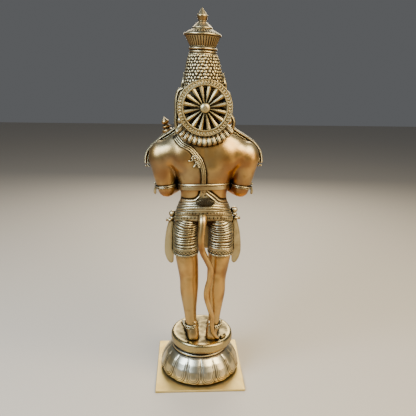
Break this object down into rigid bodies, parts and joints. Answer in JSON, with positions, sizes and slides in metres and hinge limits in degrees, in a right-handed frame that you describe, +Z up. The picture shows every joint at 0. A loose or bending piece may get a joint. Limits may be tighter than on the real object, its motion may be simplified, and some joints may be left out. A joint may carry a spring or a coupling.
{
  "type": "hanuman statue",
  "caption": "Standing cast brass Hanuman with joined hands, tall crown, wheel behind the head, mace and long tail, on a lotus pedestal and square base plate.",
  "frame": {"origin": "on the underside of the base plate, below the middle of the figure's width", "axes": "+Z up through the crown, -Y where the figure faces, +X to the figure's left"},
  "size_m": [0.2252, 0.178, 0.7157],
  "materials": {
    "antique_brass": "burnished cast brass with dark patina in the hollows",
    "wheel_brass": "cast brass with dark patina in the hollows",
    "pedestal_brass": "cast brass, chased petals with dark patina",
    "plate_brass": "polished brass, paler than the casting"
  },
  "bodies": {
    "root": {"figure": "antique_brass", "head_wheel": "wheel_brass", "lotus_pedestal": "pedestal_brass", "base_plate": "plate_brass"}
  },
  "joints": []
}
